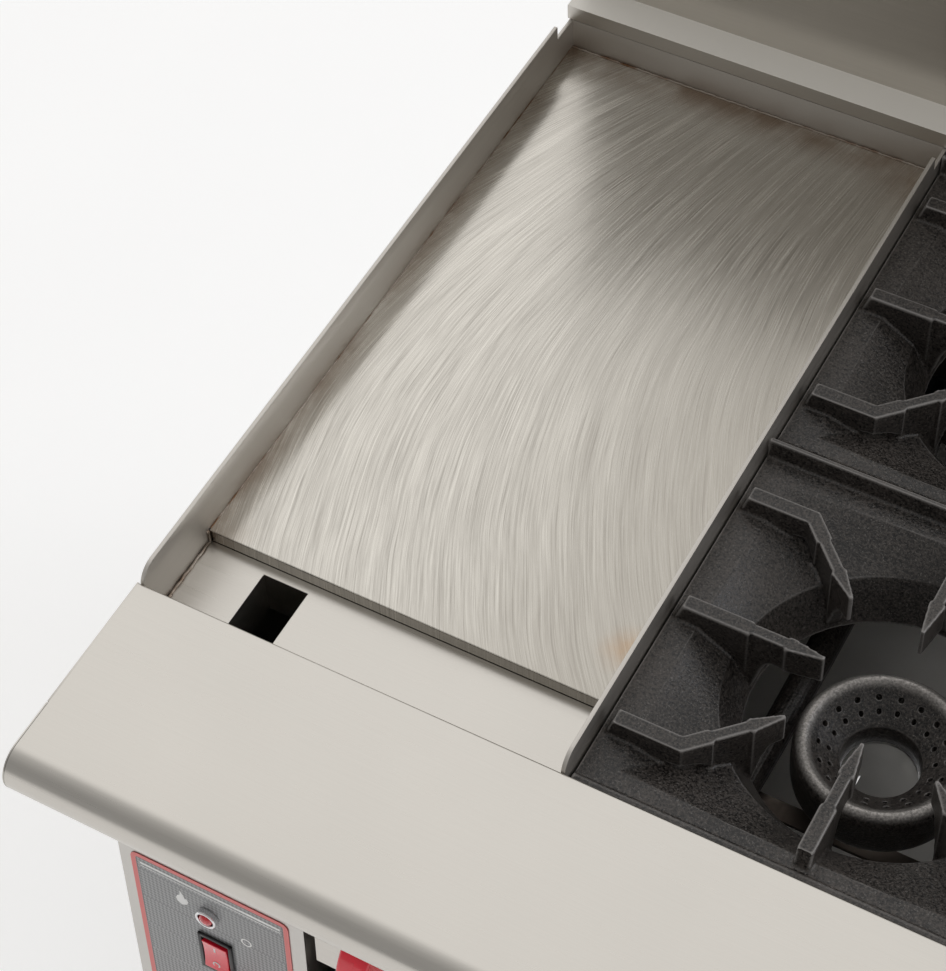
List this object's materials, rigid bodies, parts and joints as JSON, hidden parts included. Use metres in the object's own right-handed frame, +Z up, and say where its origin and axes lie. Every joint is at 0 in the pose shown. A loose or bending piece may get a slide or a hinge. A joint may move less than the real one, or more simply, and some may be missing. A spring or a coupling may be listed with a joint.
{
  "type": "commercial gas range",
  "caption": "Free-standing commercial gas range with a front-trough griddle, open burners under cast grates, a convection oven base and a back guard.",
  "frame": {"origin": "on the floor, under the middle of the range's footprint", "axes": "+Z up, +X to the user's right, +Y to the back; the user stands at -Y"},
  "size_m": [0.914, 0.864, 1.194],
  "materials": {
    "stainless": "horizontally brushed stainless sheet",
    "griddle_steel": "ground and polished steel plate with arc-shaped grinding marks",
    "galvanised": "galvanised sheet and tube",
    "tray_steel": "bright rolled steel",
    "cast_iron": "sand-cast iron with a black coat",
    "enamel": "dark vitreous enamel on steel",
    "chrome_wire": "plated steel wire",
    "brass": "machined brass",
    "chrome": "plated",
    "label": "printed overlay with a woven pattern and a red border",
    "red_lens": "clear red plastic",
    "dark_plastic": "moulded black plastic",
    "red_plastic": "moulded red plastic"
  },
  "bodies": {
    "range": {"left_side_panel": "stainless", "right_side_panel": "stainless", "kick_plate": "stainless", "back_guard": "stainless", "front_ledge": "stainless", "ledge_cap_left": "stainless", "ledge_cap_right": "stainless", "griddle_splash": "stainless", "grease_trough": "stainless", "valve_panel": "stainless", "control_panel": "stainless", "lower_access_panel": "stainless", "leg_front_left": "stainless", "leg_front_right": "stainless", "leg_rear_left": "stainless", "leg_rear_right": "stainless", "griddle_plate": "griddle_steel", "base_frame": "galvanised", "back_panel": "galvanised", "burner_box": "galvanised", "gas_manifold": "galvanised", "gas_inlet_pipe": "galvanised", "fan_motor": "galvanised", "griddle_burner": "cast_iron", "oven_burner": "cast_iron", "burner_front_left": "cast_iron", "burner_front_right": "cast_iron", "burner_rear_left": "cast_iron", "burner_rear_right": "cast_iron", "oven_liner": "enamel", "fan_baffle": "enamel", "oven_rack_lower": "chrome_wire", "oven_rack_upper": "chrome_wire", "griddle_valve": "brass", "burner_valve_1": "brass", "burner_valve_2": "brass", "burner_valve_3": "brass", "burner_valve_4": "brass", "indicator_bezel": "chrome", "control_label": "label", "indicator_lens": "red_lens", "rocker_bezel": "dark_plastic", "power_gland": "dark_plastic"},
    "oven_door": {"oven_door": "stainless", "door_liner": "enamel", "door_handle": "stainless"},
    "griddle_knob": {"griddle_knob": "red_plastic"},
    "burner_knob_1": {"burner_knob_1": "red_plastic"},
    "burner_knob_2": {"burner_knob_2": "red_plastic"},
    "burner_knob_3": {"burner_knob_3": "red_plastic"},
    "burner_knob_4": {"burner_knob_4": "red_plastic"},
    "thermostat_knob": {"thermostat_knob": "red_plastic"},
    "rocker_button": {"rocker_button": "red_plastic"},
    "grease_drawer": {"grease_drawer": "stainless"},
    "crumb_tray": {"crumb_tray": "tray_steel"},
    "convection_fan": {"convection_fan": "stainless"},
    "grate_front_left": {"grate_front_left": "cast_iron"},
    "grate_front_right": {"grate_front_right": "cast_iron"},
    "grate_rear_left": {"grate_rear_left": "cast_iron"},
    "grate_rear_right": {"grate_rear_right": "cast_iron"}
  },
  "joints": [
    {"name": "door_hinge", "type": "hinge", "parent": "range", "child": "oven_door", "pos_m": [0.08, -0.3335, 0.232], "axis": [1, 0, 0], "range_deg": [0, 90]},
    {"name": "griddle_knob_turn", "type": "hinge", "parent": "range", "child": "griddle_knob", "pos_m": [-0.2416, -0.35686, 0.7707], "axis": [0, -0.9978, 0.0663], "range_deg": [0, 90]},
    {"name": "burner_knob_1_turn", "type": "hinge", "parent": "range", "child": "burner_knob_1", "pos_m": [-0.0713, -0.35686, 0.7707], "axis": [0, -0.9978, 0.0663], "range_deg": [0, 90]},
    {"name": "burner_knob_2_turn", "type": "hinge", "parent": "range", "child": "burner_knob_2", "pos_m": [0.0807, -0.35686, 0.7707], "axis": [0, -0.9978, 0.0663], "range_deg": [0, 90]},
    {"name": "burner_knob_3_turn", "type": "hinge", "parent": "range", "child": "burner_knob_3", "pos_m": [0.2301, -0.35686, 0.7707], "axis": [0, -0.9978, 0.0663], "range_deg": [0, 90]},
    {"name": "burner_knob_4_turn", "type": "hinge", "parent": "range", "child": "burner_knob_4", "pos_m": [0.3821, -0.35686, 0.7707], "axis": [0, -0.9978, 0.0663], "range_deg": [0, 90]},
    {"name": "thermostat_turn", "type": "hinge", "parent": "range", "child": "thermostat_knob", "pos_m": [-0.3826, -0.37078, 0.56117], "axis": [0, 0.9978, -0.0663], "range_deg": [0, 270]},
    {"name": "rocker_tilt", "type": "hinge", "parent": "range", "child": "rocker_button", "pos_m": [-0.3826, -0.3577, 0.63747], "axis": [1, 0, 0], "range_deg": [-10, 10]},
    {"name": "grease_drawer_slide", "type": "slide", "parent": "range", "child": "grease_drawer", "axis": [0, -1, 0], "range_m": [0, 0.2]},
    {"name": "crumb_tray_slide", "type": "slide", "parent": "range", "child": "crumb_tray", "axis": [0, -1, 0], "range_m": [0, 0.5]},
    {"name": "fan_spin", "type": "hinge", "parent": "range", "child": "convection_fan", "pos_m": [0.0794, 0.23, 0.4275], "axis": [0, 1, 0], "continuous": true},
    {"name": "grate_front_left_lift", "type": "slide", "parent": "range", "child": "grate_front_left", "axis": [0, 0, 1], "range_m": [0, 0.15]},
    {"name": "grate_front_right_lift", "type": "slide", "parent": "range", "child": "grate_front_right", "axis": [0, 0, 1], "range_m": [0, 0.15]},
    {"name": "grate_rear_left_lift", "type": "slide", "parent": "range", "child": "grate_rear_left", "axis": [0, 0, 1], "range_m": [0, 0.15]},
    {"name": "grate_rear_right_lift", "type": "slide", "parent": "range", "child": "grate_rear_right", "axis": [0, 0, 1], "range_m": [0, 0.15]}
  ]
}
